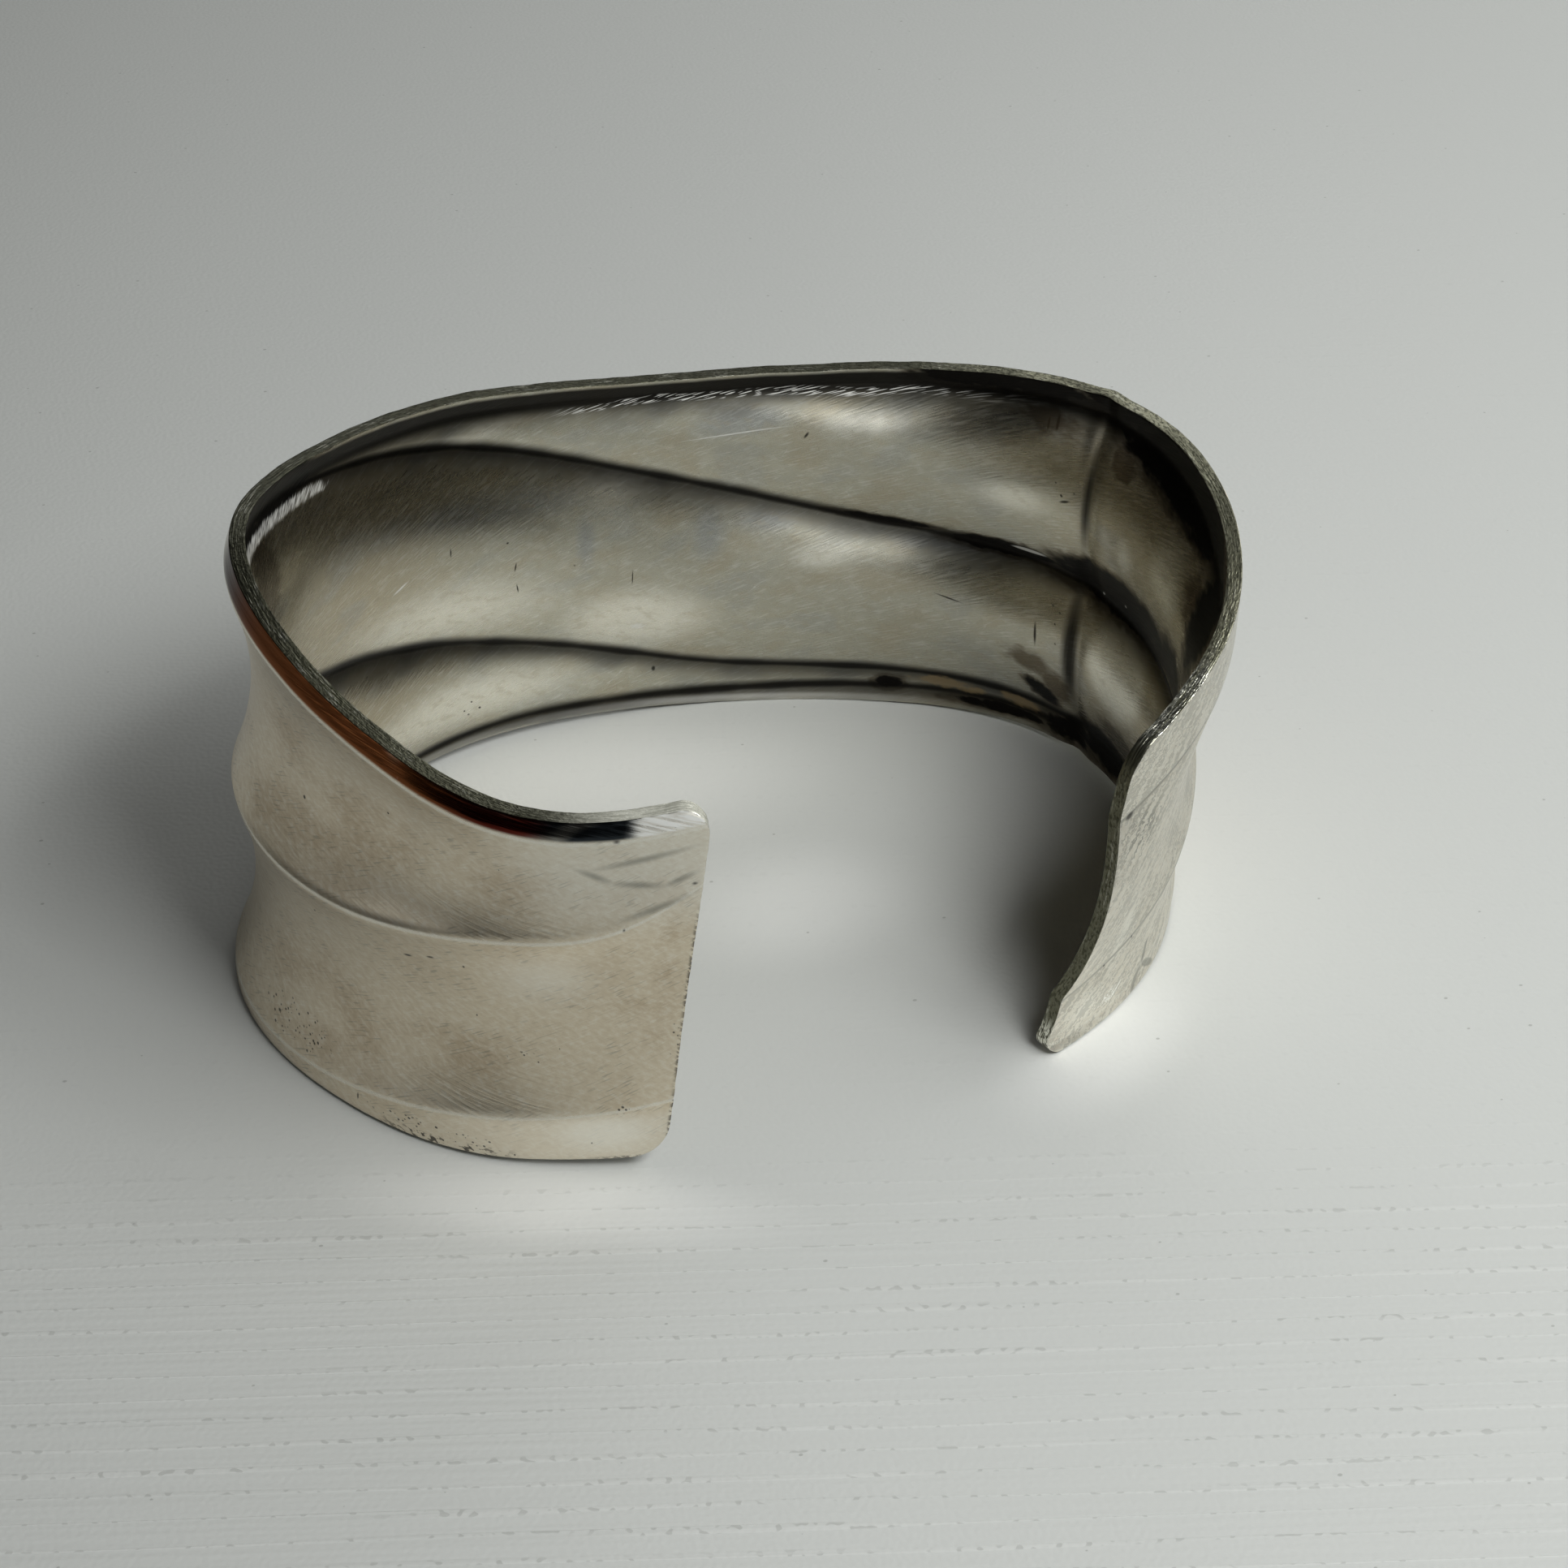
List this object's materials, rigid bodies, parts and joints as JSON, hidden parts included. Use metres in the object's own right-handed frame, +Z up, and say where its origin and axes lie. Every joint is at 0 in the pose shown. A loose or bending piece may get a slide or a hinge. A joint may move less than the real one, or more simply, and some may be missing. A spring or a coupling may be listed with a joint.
{
  "type": "open cuff bangle",
  "caption": "Open cuff bangle for a wrist: one oval band of satin silver sheet with wide slanting flutes and rounded corners, lying on its lower edge.",
  "frame": {"origin": "on the surface that the cuff lies on, under the middle of its box", "axes": "+Z up, X along the oval's long axis, the opening between the ends faces -Y"},
  "size_m": [0.0674, 0.0474, 0.0338],
  "materials": {
    "silver": "worn satin silver, warm grey, with tarnish in the grooves and bright scratches"
  },
  "bodies": {
    "root": {"cuff": "silver"}
  },
  "joints": []
}
